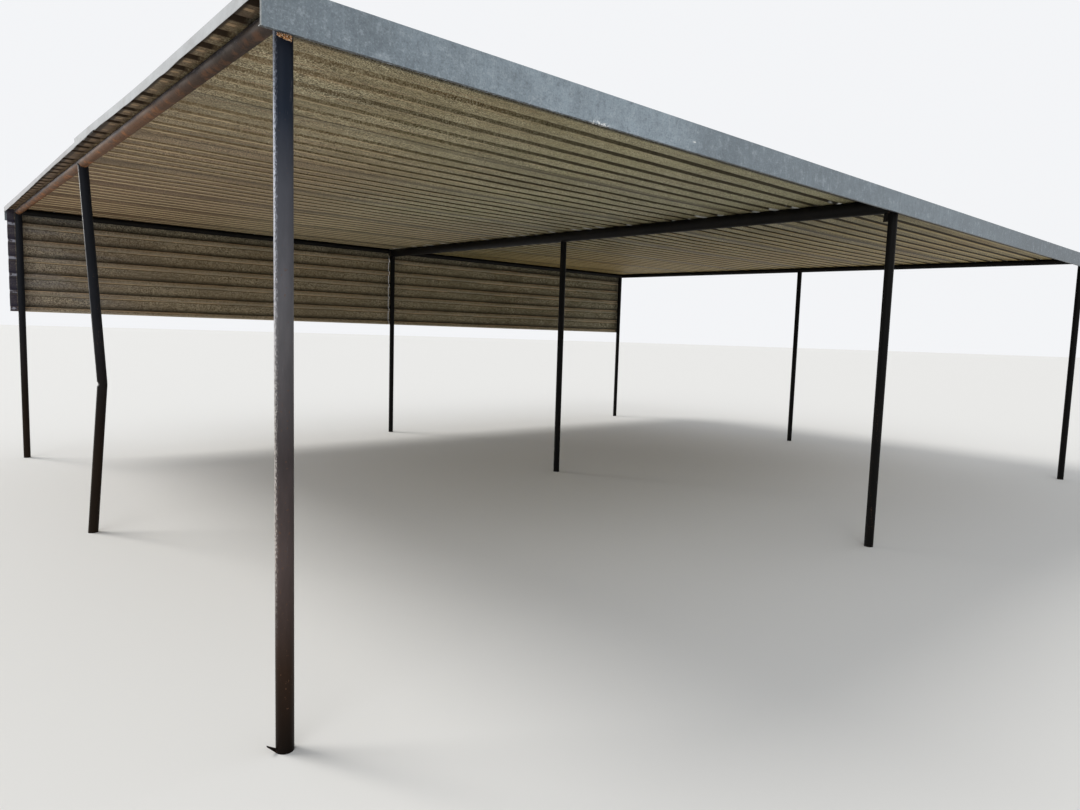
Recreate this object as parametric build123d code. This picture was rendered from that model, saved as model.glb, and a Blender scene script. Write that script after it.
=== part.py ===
# Open-frame carport: nine pipe posts, three cross beams, a lapped ribbed sheet roof,
# a deep front fascia and a half-height sheet screen along the back.
# +X runs along the fascia from gable A to gable C, +Y from the fascia to the screen, +Z up.
# The origin is on the ground under the middle of the roof. All sizes are in millimetres.
from build123d import *
from math import atan2, cos, degrees, radians, tan
import os

# Post grid: columns A, B and C along X, rows 1 (fascia), 2 and 3 (screen) along Y
bay_ab = 3820.0
bay_bc = 4110.0
row_12 = 3010.0
row_23 = 3150.0

# Pipes
post_od = 55.0
post_wall = 3.2
end_beam_od = 53.0
end_beam_wall = 3.0
middle_beam_od = 88.9
middle_beam_wall = 4.0
back_beam_od = 53.0
back_beam_wall = 3.0
weld_gap = 0.3
saddle_depth = 14.0

# Roof plane: underside of the flat pans over row 1, and how far row 3 is above row 1
eave_height = 2190.0
roof_rise = 90.0

# Ribbed sheet
sheet_thickness = 0.8
rib_pitch = 152.4
rib_height = 19.0
rib_base = 51.0
rib_crest = 26.0
pitches_per_sheet = 6
roof_sheet_count = 7
front_sheet_rib_count = 8
seat_gap = 0.3
lap_flange = 38.0
lap_ramp = 6.0
lap_clearance = 1.5
lap_leg = 14.0

# Roof edges
front_overhang = 64.0
first_rib_inset = 119.0
last_rib_inset = 46.0
gable_overhang = 90.0
edge_clearance = 3.0

# Formed edge trim
trim_thickness = 1.2
fascia_depth = 120.0
fascia_lip = 14.0
gable_trim_depth = 55.0
gable_trim_flange = 48.0
gable_trim_front_length = 2760.0
trim_lap = 60.0

# Screen under the back beam
screen_rib_count = 6
screen_top_margin = 133.0
screen_end_a = 84.0
screen_end_c = 40.0
screen_joint = 30.0
screen_joint_gap = 6.0
screen_top_gap = 4.0

# Bent post, with a crease across the inner side of its bend
kink_height = 910.0
kink_offset = 70.0
kink_radius = 240.0
crease_depth = 7.5
crease_radius = 18.0

# Gusset under the middle beam at post B1
gusset_width = 28.0
gusset_flare = 3.0
gusset_height = 50.0
gusset_thickness = 6.0

# Pointed tab at the foot of post A1
tab_length = 28.0
tab_rise = 32.0
tab_root_height = 14.0
tab_tip_height = 4.0
tab_thickness = 5.0

# Places worked out from the sizes above
roof_length = 2 * gable_overhang + bay_ab + bay_bc
rib_count = pitches_per_sheet * roof_sheet_count
roof_depth = first_rib_inset + (rib_count - 1) * rib_pitch + last_rib_inset
front_flange = first_rib_inset + rib_crest / 4
rear_flange = last_rib_inset + rib_crest / 4
x_a = -roof_length / 2 + gable_overhang
x_b = x_a + bay_ab
x_c = x_b + bay_bc
y_1 = -roof_depth / 2 + front_overhang
y_2 = y_1 + row_12
y_3 = y_2 + row_23
columns = {"a": x_a, "b": x_b, "c": x_c}
rows = {"1": y_1, "2": y_2, "3": y_3}
beam_sizes = {
    "a": (end_beam_od, end_beam_wall),
    "b": (middle_beam_od, middle_beam_wall),
    "c": (end_beam_od, end_beam_wall),
}
slope = degrees(atan2(roof_rise, y_3 - y_1))
rib_slant = degrees(atan2(rib_height, (rib_base - rib_crest) / 2))
crest_level = rib_height + sheet_thickness + seat_gap
trim_step = trim_thickness + seat_gap


def pan_height(y):
    """Height of the underside of the roof pans at a place along Y."""
    return eave_height + (y - y_1) * roof_rise / (y_3 - y_1)


def on_roof_plane(shape):
    """Tips a shape modelled flat, with row 1 at Y 0 and the pans at Z 0, to the roof's slope."""
    return Pos(0, y_1, eave_height) * Rot(slope, 0, 0) * shape


def along_slope(y):
    """Distance up the roof plane from row 1 to a place along Y."""
    return (y - y_1) / cos(radians(slope))


def tube(od, wall, length):
    """Open pipe standing on the XY plane."""
    ring = Circle(od / 2) - Circle(od / 2 - wall)
    return extrude(ring, length)


# Ribbed sheets


def rib_points(centre, lift, outset, side):
    """One side of a rib's outline, foot first for the near side and crest first for the far side.

    lift raises the line, and outset moves its slanted webs outwards, which keeps them parallel.
    """
    spread = outset * tan(radians(rib_slant / 2))
    foot = (centre + side * (rib_base / 2 + spread), lift)
    crest = (centre + side * (rib_crest / 2 + spread), rib_height + lift)
    return [foot, crest] if side < 0 else [crest, foot]


def sheet_lines(start, ribs, end):
    """Lower and upper line of a sheet from start to end, with ribs at the listed places."""
    lower = [(start, 0.0)]
    upper = [(start, sheet_thickness)]
    for centre in ribs:
        for side in (-1, 1):
            lower += rib_points(centre, 0.0, 0.0, side)
            upper += rib_points(centre, sheet_thickness, sheet_thickness, side)
    lower.append((end, 0.0))
    upper.append((end, sheet_thickness))
    return lower, upper


def lap_lines(centre):
    """End of a sheet that laps over the next one: a ramp up on to its flange, a rib and a leg."""
    lift = sheet_thickness + seat_gap
    bottom = centre - lap_flange - lap_clearance
    lines = []
    for level in (0.0, sheet_thickness):
        near = rib_points(centre, lift + level, level, -1)
        far = rib_points(centre, lift + level, level, 1)
        ramp = [(bottom - lap_ramp, level), (bottom, lift + level)]
        leg = (centre + rib_base / 2 + lap_leg, lift + level)
        lines.append(ramp + near + far + [leg])
    return lines


def extruded_sheet(lower, upper, x_start, length):
    """Closed sheet between its two lines, run along X."""
    outline = Polyline(*lower, *reversed(upper), close=True)
    profile = make_face(Plane.YZ * outline)
    return Pos(x_start, 0, 0) * extrude(profile, length, dir=(1, 0, 0))


def roof_sheets():
    """The roof sheets from the fascia to the back edge, each lapped over the flange of the next."""
    first_rib = first_rib_inset - front_overhang
    ribs = [first_rib + k * rib_pitch for k in range(rib_count)]
    edge = trim_thickness + edge_clearance
    x_start = -roof_length / 2 + edge
    length = roof_length - 2 * edge
    lap_ribs = [front_sheet_rib_count - 1 + k * pitches_per_sheet for k in range(roof_sheet_count - 1)]
    sheets = {}
    for number in range(roof_sheet_count):
        if number == 0:
            first, start = 0, edge - front_overhang
        else:
            first, start = lap_ribs[number - 1] + 1, ribs[lap_ribs[number - 1]] - lap_flange
        if number == roof_sheet_count - 1:
            lower, upper = sheet_lines(start, ribs[first:], ribs[-1] + last_rib_inset - edge)
        else:
            lap_rib = lap_ribs[number]
            lower, upper = sheet_lines(start, ribs[first:lap_rib], ribs[lap_rib])
            lap_lower, lap_upper = lap_lines(ribs[lap_rib])
            lower = lower[:-1] + lap_lower
            upper = upper[:-1] + lap_upper
        sheet = extruded_sheet(lower, upper, x_start, length)
        sheets[f"roof_sheet_{number + 1}"] = on_roof_plane(sheet)
    return sheets


def screen_sheets():
    """Two sheets hung on the outside of the row 3 posts, ribs inwards, with an open joint."""
    crest_face = y_3 + post_od / 2 + seat_gap
    pan_face = crest_face + rib_height + sheet_thickness
    ribs = [rib_base / 2 + sheet_thickness + k * rib_pitch for k in range(screen_rib_count)]
    width = ribs[-1] + screen_top_margin
    lower, upper = sheet_lines(0.0, ribs, width)
    bottom = pan_height(crest_face) - screen_top_gap - width
    joint = x_b - screen_joint
    spans = {
        "screen_sheet_left": (x_a - screen_end_a, joint),
        "screen_sheet_right": (joint + screen_joint_gap, x_c + screen_end_c),
    }
    sheets = {}
    for name, (start, end) in spans.items():
        flat = extruded_sheet(lower, upper, start, end - start)
        sheets[name] = Pos(0, pan_face, bottom) * Rot(90, 0, 0) * flat
    return sheets


# Frame


def beam_core(column, growth):
    """Solid round of a cross beam's outside, grown by a clearance, longer than the beam."""
    od, _ = beam_sizes[column]
    reach = y_3 - y_1 + 2 * gable_overhang
    round_bar = extrude(Circle(od / 2 + growth), reach)
    lying = Pos(columns[column], -gable_overhang, -od / 2 - seat_gap) * Rot(-90, 0, 0) * round_bar
    return on_roof_plane(lying)


def cross_beam(column):
    """Pipe over the three posts of a column, from behind the fascia to the screen."""
    od, wall = beam_sizes[column]
    start = -front_overhang + trim_thickness + fascia_lip
    end = along_slope(y_3 + post_od / 2) - edge_clearance
    lying = Rot(-90, 0, 0) * tube(od, wall, end - start)
    return on_roof_plane(Pos(columns[column], start, -od / 2 - seat_gap) * lying)


def back_beam(near, far):
    """Pipe along row 3 between two cross beams, its ends coped to them."""
    start = columns[near]
    length = columns[far] - start
    lying = Rot(0, 90, 0) * tube(back_beam_od, back_beam_wall, length)
    level = -back_beam_od / 2 - seat_gap
    bar = on_roof_plane(Pos(start, along_slope(y_3), level) * lying)
    for column in (near, far):
        bar = bar - beam_core(column, weld_gap) - post_core(column, "3")
    return bar


def saddle_level(column, row):
    """Top of a post's cope, part of the way up the side of its beam."""
    od, _ = beam_sizes[column]
    return pan_height(rows[row]) - od + saddle_depth


def post_core(column, row):
    """Solid round of a post's outside, grown by the weld gap."""
    height = saddle_level(column, row) + weld_gap
    return Pos(columns[column], rows[row], 0) * extrude(Circle(post_od / 2 + weld_gap), height)


def straight_post(column, row):
    """Pipe from the ground to its beam, its top coped to the beam's underside."""
    pipe = tube(post_od, post_wall, saddle_level(column, row))
    return Pos(columns[column], rows[row], 0) * pipe - beam_core(column, weld_gap)


def crease(kink, growth):
    """Round bar across the inner side of the bend, where the wall is pushed in."""
    centre = kink - Vector(post_od / 2 - crease_depth + crease_radius, 0, 0)
    bar = Cylinder(crease_radius + growth, 2 * post_od)
    return Pos(centre) * Rot(90, 0, 0) * bar


def bent_post(column, row):
    """Post knocked out of line: a tight creased bend part of the way up, both ends in place."""
    foot = Vector(columns[column], rows[row], 0)
    kink = foot + Vector(kink_offset, 0, kink_height)
    top = foot + Vector(0, 0, saddle_level(column, row))
    below = foot + (foot - kink).normalized() * post_od
    path = FilletPolyline(below, kink, top, radius=kink_radius)
    start = Plane(origin=below, z_dir=kink - foot)
    outside = sweep(start * Circle(post_od / 2), path) - crease(kink, 0)
    inside = sweep(start * Circle(post_od / 2 - post_wall), path) - crease(kink, post_wall)
    ground = Pos(foot.X, foot.Y, -post_od) * Box(4 * post_od, 4 * post_od, 2 * post_od)
    return outside - inside - ground - beam_core(column, weld_gap)


def gusset():
    """Small plate in the corner between post B1 and the underside of the middle beam."""
    inner = y_1 + post_od / 2 + weld_gap
    outer = inner + gusset_width
    top = pan_height(inner) - middle_beam_od + weld_gap
    bottom = top - gusset_height
    corners = [(inner, top), (outer, top), (outer + gusset_flare, bottom), (inner, bottom)]
    profile = make_face(Plane.YZ * Polyline(*corners, close=True))
    plate = Pos(x_b - gusset_thickness / 2, 0, 0) * extrude(profile, gusset_thickness, dir=(1, 0, 0))
    return plate - beam_core("b", weld_gap)


def foot_tab():
    """Pointed tab welded to the gable side of post A1's foot, rising to its tip."""
    root = x_a - post_od / 2 - weld_gap
    tip = root - tab_length
    corners = [(root, 0), (root, tab_root_height), (tip, tab_rise), (tip, tab_rise - tab_tip_height)]
    profile = make_face(Plane.XZ * Polyline(*corners, close=True))
    return Pos(0, y_1 + tab_thickness / 2, 0) * extrude(profile, tab_thickness, dir=(0, -1, 0))


# Edge trim


def channel_points(flange, depth, lip, outward):
    """Cross-section of a formed fascia, with its face at Y 0 and its top inner face at Z 0.

    outward is -1 for a face looking to -Y and 1 for one looking to +Y.
    """
    t = trim_thickness
    inward = -outward
    points = [
        (0, t),
        (inward * flange, t),
        (inward * flange, 0),
        (inward * t, 0),
        (inward * t, t - depth + t),
        (inward * lip, t - depth + t),
        (inward * lip, t - depth),
        (0, t - depth),
    ]
    return points


def fascia(y_face, flange, outward):
    """Formed fascia along the whole roof, its flange on the crest of the nearest rib."""
    outline = Polyline(*channel_points(flange, fascia_depth, fascia_lip, outward), close=True)
    profile = make_face(Plane.YZ * outline)
    length = roof_length - 2 * (2 * trim_thickness + 2 * seat_gap)
    bar = Pos(-length / 2, 0, 0) * extrude(profile, length, dir=(1, 0, 0))
    return on_roof_plane(Pos(0, y_face - y_1, crest_level) * bar)


def gable_trim(side, start, end, step):
    """Length of angle trim over the sheet ends, side -1 at gable A and 1 at gable C.

    step counts the layers under it: a lapping length lies one layer further out and up.
    """
    t = trim_thickness
    face = side * (roof_length / 2 - (1 - step) * trim_step)
    inward = -side
    level = crest_level + (1 + step) * trim_step
    points = [
        (face, level + t),
        (face + inward * gable_trim_flange, level + t),
        (face + inward * gable_trim_flange, level),
        (face + inward * t, level),
        (face + inward * t, level + t - gable_trim_depth),
        (face, level + t - gable_trim_depth),
    ]
    profile = make_face(Plane.XZ * Polyline(*points, close=True))
    bar = Pos(0, start, 0) * extrude(profile, end - start, dir=(0, 1, 0))
    return on_roof_plane(bar)


def gable_trims():
    """Two lengths on each gable, the front one lapped over the back one."""
    start = -front_overhang
    end = roof_depth - front_overhang
    split = start + gable_trim_front_length
    trims = {}
    for name, side in (("a", -1), ("c", 1)):
        trims[f"gable_trim_{name}_front"] = gable_trim(side, start, split, 1)
        trims[f"gable_trim_{name}_back"] = gable_trim(side, split - trim_lap, end, 0)
    return trims


def carport():
    """Every piece by its name."""
    pieces = {}
    for row in rows:
        for column in columns:
            make = bent_post if (column, row) == ("a", "2") else straight_post
            pieces[f"post_{column}{row}"] = make(column, row)
    for column in columns:
        pieces[f"cross_beam_{column}"] = cross_beam(column)
    pieces["back_beam_left"] = back_beam("a", "b")
    pieces["back_beam_right"] = back_beam("b", "c")
    pieces["gusset_b1"] = gusset()
    pieces["foot_tab_a1"] = foot_tab()
    pieces.update(roof_sheets())
    pieces.update(screen_sheets())
    pieces["front_fascia"] = fascia(-roof_depth / 2, front_flange, -1)
    pieces["rear_fascia"] = fascia(roof_depth / 2, rear_flange, 1)
    pieces.update(gable_trims())
    return pieces


os.makedirs("parts", exist_ok=True)
for name, piece in carport().items():
    export_step(piece, f"parts/{name}.step")
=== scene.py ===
import math
import random

import bmesh
import bpy
from mathutils import Matrix, Vector, noise

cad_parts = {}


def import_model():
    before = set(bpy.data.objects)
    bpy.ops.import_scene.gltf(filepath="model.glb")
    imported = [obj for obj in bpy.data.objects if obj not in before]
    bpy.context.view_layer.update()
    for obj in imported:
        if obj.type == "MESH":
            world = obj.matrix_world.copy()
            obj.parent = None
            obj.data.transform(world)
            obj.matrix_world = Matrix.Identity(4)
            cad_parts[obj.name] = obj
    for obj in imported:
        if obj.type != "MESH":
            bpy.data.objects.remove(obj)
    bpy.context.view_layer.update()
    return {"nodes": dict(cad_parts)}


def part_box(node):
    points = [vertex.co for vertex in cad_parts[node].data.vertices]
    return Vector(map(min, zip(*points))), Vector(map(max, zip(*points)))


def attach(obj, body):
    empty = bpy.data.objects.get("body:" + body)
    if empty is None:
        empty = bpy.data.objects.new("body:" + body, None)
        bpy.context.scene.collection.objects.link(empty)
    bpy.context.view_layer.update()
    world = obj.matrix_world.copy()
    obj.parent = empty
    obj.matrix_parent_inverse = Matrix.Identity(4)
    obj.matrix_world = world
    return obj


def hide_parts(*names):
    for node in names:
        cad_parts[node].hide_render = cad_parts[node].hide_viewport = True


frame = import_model()
random.seed(11)

# Post grid, read from the frame. Everything below is in metres.
a1_low, a1_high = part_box("post_a1")
c3_low, c3_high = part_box("post_c3")
b2_low, b2_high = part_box("post_b2")
POST_R = (a1_high.x - a1_low.x) / 2
X_A = (a1_low.x + a1_high.x) / 2
X_B = (b2_low.x + b2_high.x) / 2
X_C = (c3_low.x + c3_high.x) / 2
Y_1 = (a1_low.y + a1_high.y) / 2
Y_2 = (b2_low.y + b2_high.y) / 2
Y_3 = (c3_low.y + c3_high.y) / 2
COLUMNS = {"a": X_A, "b": X_B, "c": X_C}
ROWS = {"1": Y_1, "2": Y_2, "3": Y_3}

# Roof plane and ribbed sheet
ROOF_RISE = 0.090
SLOPE = math.atan2(ROOF_RISE, Y_3 - Y_1)
SHEET = 0.0008
RIB_PITCH = 0.1524
RIB_HEIGHT = 0.019
RIB_BASE = 0.051
RIB_CREST = 0.026
RIB_SLANT = math.atan2(RIB_HEIGHT, (RIB_BASE - RIB_CREST) / 2)
RIBS_PER_SHEET = 6
FRONT_SHEET_RIBS = 8
SHEETS = 7
RIBS = RIBS_PER_SHEET * SHEETS
BEND_RADIUS = 0.005
SEAT = 0.0003
LAP_FLANGE = 0.038
LAP_RAMP = 0.006
LAP_CLEARANCE = 0.0015
LAP_LEG = 0.014
LAP_RIBS = [FRONT_SHEET_RIBS - 1 + RIBS_PER_SHEET * k for k in range(SHEETS - 1)]
TRIM = 0.0012
EDGE_CLEAR = 0.003
FIRST_RIB_INSET = 0.119
LAST_RIB_INSET = 0.046
roof_low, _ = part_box("roof_sheet_1")
FRONT_EDGE = (roof_low.y - Y_1) / math.cos(SLOPE)
FIRST_RIB = FRONT_EDGE - TRIM - EDGE_CLEAR + FIRST_RIB_INSET
LAST_RIB = FIRST_RIB + (RIBS - 1) * RIB_PITCH
BACK_EDGE = LAST_RIB + LAST_RIB_INSET - TRIM - EDGE_CLEAR
EAVE = roof_low.z - FRONT_EDGE * math.sin(SLOPE)
ROOF_UP = Vector((0, -math.sin(SLOPE), math.cos(SLOPE)))
ROW_3_ALONG = (Y_3 - Y_1) / math.cos(SLOPE)

# Sag of the sheets between their supports, and the step between their cross sections
ROOF_SAG = 0.0075
ROOF_RIPPLE = 0.0035
FLANGE_GAPE = 0.0018
GAPE_REACH = 0.030
FLANGE_FOLD = 0.032
SCREEN_BOW = 0.009
JOINT_CLOSING = 0.004
STATION = 0.09

# Gable trim: its bend, the step between its cross sections and the length of its waves
TRIM_BEND = 0.003
TRIM_SHOULDER = 0.006
TRIM_STATION = 0.03
TRIM_WAVE = 0.29


def smooth(value, low, high):
    """0 below low, 1 above high, and an eased step between."""
    t = min(1.0, max(0.0, (value - low) / (high - low)))
    return t * t * (3 - 2 * t)


def bay_share(x):
    """Place in its bay, 0 and 1 at the columns, and 0 past the end columns."""
    if x < X_A or x > X_C:
        return 0.0
    return (x - X_A) / (X_B - X_A) if x < X_B else (x - X_B) / (X_C - X_B)


def roof_sag(x, y):
    """How far a roof sheet hangs below its plane, zero over the beams and at the edges."""
    bow = math.sin(math.pi * bay_share(x))
    if bow <= 0.0:
        return 0.0
    edge = smooth(y, Y_1 + 0.05, Y_1 + 0.9) * (1 - smooth(y, Y_3 - 0.8, Y_3 - 0.05))
    drift = noise.noise(Vector((x * 0.35, y * 1.1, 3.0)))
    ripple = noise.noise(Vector((x * 1.7, y * 2.3, 9.0)))
    return -edge * (ROOF_SAG * bow * (1 + 0.6 * drift) + ROOF_RIPPLE * ripple * math.sqrt(bow))


def screen_bow(x, z, top):
    """How far a screen sheet stands off its plane, zero at the posts and at the top."""
    free = smooth(top - z, 0.05, 0.9)
    wave = noise.noise(Vector((x * 0.9, z * 1.3, 5.0)))
    return free * math.sin(math.pi * bay_share(x)) * SCREEN_BOW * (0.5 + 1.2 * wave)


def flange_gape(reach, x):
    """How far a sheet's front flange droops, most at its edge and nothing over the beams."""
    aside = min(abs(x - column) for column in COLUMNS.values())
    edge = 1 - smooth(reach, 0.0, GAPE_REACH)
    wave = noise.noise(Vector((x * 1.3, reach, 21.0)))
    return FLANGE_GAPE * edge * smooth(aside, 0.06, 0.30) * (1 + 0.5 * wave)


def on_roof(along, height, x=0.0, sag=True):
    """Point given by its distance up the roof plane from row 1 and its height above the pans."""
    y = Y_1 + along * math.cos(SLOPE) - height * math.sin(SLOPE)
    z = EAVE + along * math.sin(SLOPE) + height * math.cos(SLOPE)
    return Vector((x, y, z + (roof_sag(x, y) if sag else 0.0)))


# Pieces


def add_piece(name, mesh, material, sharp=35.0):
    """Makes an object of a mesh that rides with the carport."""
    mesh.validate()
    mesh.polygons.foreach_set("use_smooth", [True] * len(mesh.polygons))
    mesh.set_sharp_from_angle(angle=math.radians(sharp))
    mesh.materials.append(material)
    piece = bpy.data.objects.new(name, mesh)
    bpy.context.scene.collection.objects.link(piece)
    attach(piece, "root")
    return piece


def mesh_from(name, points, faces):
    """Mesh with its normals turned outwards."""
    mesh = bpy.data.meshes.new(name)
    mesh.from_pydata(points, [], faces)
    work = bmesh.new()
    work.from_mesh(mesh)
    bmesh.ops.recalc_face_normals(work, faces=work.faces)
    work.to_mesh(mesh)
    work.free()
    return mesh


def rounded(line, radius):
    """A line of (along, height) points with each corner eased into a short arc."""
    steps = 3
    out = [line[0]]
    for before, corner, after in zip(line, line[1:], line[2:]):
        a, c, b = Vector(before), Vector(corner), Vector(after)
        back, on = (a - c), (b - c)
        turn = math.pi - back.angle(on)
        reach = min(radius * math.tan(turn / 2), 0.45 * back.length, 0.45 * on.length)
        start, end = c + back.normalized() * reach, c + on.normalized() * reach
        for k in range(steps):
            t = k / (steps - 1)
            out.append(tuple(start * (1 - t) ** 2 + c * 2 * t * (1 - t) + end * t * t))
    out.append(line[-1])
    return out


def rib_line(centre, lift):
    """The four corners of a rib's outline, lifted and spread by a distance off the sheet."""
    spread = lift * math.tan(RIB_SLANT / 2)
    foot, crest = RIB_BASE / 2 + spread, RIB_CREST / 2 + spread
    top = RIB_HEIGHT + lift
    return [(centre - foot, lift), (centre - crest, top), (centre + crest, top), (centre + foot, lift)]


def rib_place(index):
    """Distance of a rib's middle up the roof plane."""
    return FIRST_RIB + index * RIB_PITCH


def lap_line(centre, level):
    """End of a sheet that laps over the next one: a ramp up on to its flange, a rib and a leg."""
    lift = SHEET + SEAT
    bottom = centre - LAP_FLANGE - LAP_CLEARANCE
    line = [(bottom - LAP_RAMP, level), (bottom, lift + level)]
    line += [(along, height + lift) for along, height in rib_line(centre, level)]
    return line + [(centre + RIB_BASE / 2 + LAP_LEG, lift + level)]


def roof_start(number):
    """Front edge of a roof sheet, up the roof plane."""
    return rib_place(LAP_RIBS[number - 1]) - LAP_FLANGE if number else FRONT_EDGE


def roof_lines(number):
    """Lower and upper line of a roof sheet, as its node has them."""
    first = LAP_RIBS[number - 1] + 1 if number else 0
    last = number == SHEETS - 1
    end = RIBS if last else LAP_RIBS[number]
    lines = []
    for level in (0.0, SHEET):
        line = [(roof_start(number), level)]
        if number:
            line.append((roof_start(number) + FLANGE_FOLD, level))
        for index in range(first, end):
            line += rib_line(rib_place(index), level)
        line += [(BACK_EDGE, level)] if last else lap_line(rib_place(end), level)
        lines.append(line)
    return lines


def stations(start, end):
    """Places along X from start to end, with one on every column."""
    stops = [start] + [x for x in (X_A, X_B, X_C) if start < x < end] + [end]
    places = [start]
    for low, high in zip(stops, stops[1:]):
        count = max(1, round((high - low) / STATION))
        places += [low + (high - low) * (k + 1) / count for k in range(count)]
    return places


def ribbed_mesh(name, lines, places, put, radius=BEND_RADIUS):
    """Closed sheet between a lower and an upper line, run through the places along it.

    put gives the point for a distance across, a height and a place.
    """
    lower, upper = (rounded(line, radius) for line in lines)
    ring = lower + upper[::-1]
    count, half = len(ring), len(lower)
    points = [put(across, height, place) for place in places for across, height in ring]
    faces = []
    for s in range(len(places) - 1):
        base = s * count
        for k in range(count):
            n = (k + 1) % count
            faces.append((base + k, base + n, base + count + n, base + count + k))
    for base in (0, (len(places) - 1) * count):
        for k in range(half - 1):
            faces.append((base + k, base + k + 1, base + count - 2 - k, base + count - 1 - k))
    return mesh_from(name, points, faces)


def roof_sheets(material):
    """The roof sheets with the sag that they have between the beams."""
    for number in range(SHEETS):
        node = f"roof_sheet_{number + 1}"
        low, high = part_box(node)
        start = roof_start(number)

        def put(along, height, x):
            point = on_roof(along, height, x)
            if number:
                point.z -= flange_gape(along - start, x)
            return point

        mesh = ribbed_mesh(node, roof_lines(number), stations(low.x, high.x), put)
        piece = add_piece(f"sagged_{node}", mesh, material)
        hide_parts(node)


def screen_sheets(material):
    """The two sheets of the screen, standing off a little between the posts."""
    for side in ("left", "right"):
        node = f"screen_sheet_{side}"
        low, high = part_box(node)
        ribs = [RIB_BASE / 2 + SHEET + k * RIB_PITCH for k in range(RIBS_PER_SHEET)]
        lines = []
        for level in (0.0, SHEET):
            line = [(0.0, level)]
            for centre in ribs:
                line += rib_line(centre, level)
            lines.append(line + [(high.z - low.z, level)])

        def put(up, out, x):
            z = low.z + up
            return Vector((x, high.y - out + screen_bow(x, z, high.z), z))

        start = low.x - (JOINT_CLOSING if side == "right" else 0.0)
        mesh = ribbed_mesh(node, lines, stations(start, high.x), put)
        piece = add_piece(f"bowed_{node}", mesh, material)
        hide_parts(node)


def trim_shape(name, part, reach):
    """Lift, face depth and outward bulge of a gable trim at a distance from the front edge."""
    drift = noise.noise(Vector((reach * 1.2, 4.0, 1.0)))
    wave = math.sin(2 * math.pi * reach / TRIM_WAVE + 2.5 * drift)
    rough = noise.noise(Vector((reach * 5.0, 2.0, 8.0 if name == "a" else 17.0)))
    if part == "front":
        lift = 0.023 * smooth(reach, 1.1, 2.9) if name == "a" else 0.004 * smooth(reach, 1.6, 2.8)
        depth = 0.039 + 0.008 * smooth(reach, 2.2, 2.8)
    else:
        lift = 0.006 * (1 - smooth(reach, 2.9, 4.8))
        depth = 0.029 + 0.016 * smooth(reach, 3.6, 6.2)
    return lift, depth + 0.0040 * wave + 0.0040 * rough, 0.0030 * wave


def trim_level(part):
    """Height of a gable trim's flange above the pans, at its upper face."""
    layers = 2 if part == "front" else 1
    return RIB_HEIGHT + SHEET + SEAT + TRIM + layers * (TRIM + SEAT)


def gable_trims(material):
    """Angle trim over the sheet ends, with a wavy lower edge and one end sprung up off the ribs.

    The outlines reach down to a height of -1, which stands for the full depth of the face.
    """
    for name, side in (("a", -1), ("c", 1)):
        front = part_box(f"gable_trim_{name}_front")[0].y
        for part in ("front", "back"):
            node = f"gable_trim_{name}_{part}"
            low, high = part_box(node)
            face, flange = (low.x if side < 0 else high.x), high.x - low.x
            lower = [(flange, -TRIM), (TRIM, -TRIM), (TRIM, -1.0)]
            upper = [(flange, 0.0), (0.0, 0.0), (0.0, -1.0)]

            def put(inward, height, y):
                lift, depth, bulge = trim_shape(name, part, y - front)
                drop = max(0.0, (-height - TRIM_SHOULDER) / (1 - TRIM_SHOULDER))
                level = height if drop == 0.0 else -TRIM_SHOULDER - drop * (depth - TRIM_SHOULDER)
                x = face - side * (inward - bulge * drop * drop)
                along = (y - Y_1) / math.cos(SLOPE)
                return on_roof(along, trim_level(part) + lift + level, x, False)

            count = round((high.y - low.y) / TRIM_STATION)
            places = [low.y + (high.y - low.y) * k / count for k in range(count + 1)]
            mesh = ribbed_mesh(node, (lower, upper), places, put, TRIM_BEND)
            piece = add_piece(f"wavy_{node}", mesh, material)
            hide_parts(node)


# Screws: the washer, the flange and the hexagon head, each as base, radius, height, sides and top share

SCREW_LAYERS = (
    (0.0, 0.0080, 0.0022, 14, 0.86),
    (0.0019, 0.0056, 0.0012, 12, 0.90),
    (0.0030, 0.0043, 0.0042, 6, 0.80),
)


def disc(work, place, radius, height, sides, top):
    """Short upright cylinder, its top narrowed by a share, standing at a place matrix."""
    rings = [(0.0, radius), (height * 0.75, radius), (height, radius * top)]
    verts = []
    for level, r in rings:
        ring = []
        for k in range(sides):
            a = 2 * math.pi * k / sides
            ring.append(work.verts.new(place @ Vector((r * math.cos(a), r * math.sin(a), level))))
        verts.append(ring)
    for low, high in zip(verts, verts[1:]):
        for k in range(sides):
            work.faces.new((low[k], low[k - 1], high[k - 1], high[k]))
    work.faces.new(verts[-1])


def screws(name, places, material):
    """Hexagon screws with washers, one at each place (point, outward direction)."""
    work = bmesh.new()
    for point, out in places:
        turn = Matrix.Rotation(random.uniform(0, math.pi), 4, "Z")
        place = Matrix.Translation(point) @ out.to_track_quat("Z", "Y").to_matrix().to_4x4() @ turn
        for base, radius, height, sides, top in SCREW_LAYERS:
            disc(work, place @ Matrix.Translation((0, 0, base)), radius, height, sides, top)
    mesh = bpy.data.meshes.new(name)
    work.to_mesh(mesh)
    work.free()
    return add_piece(name, mesh, material, 30.0)


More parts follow.
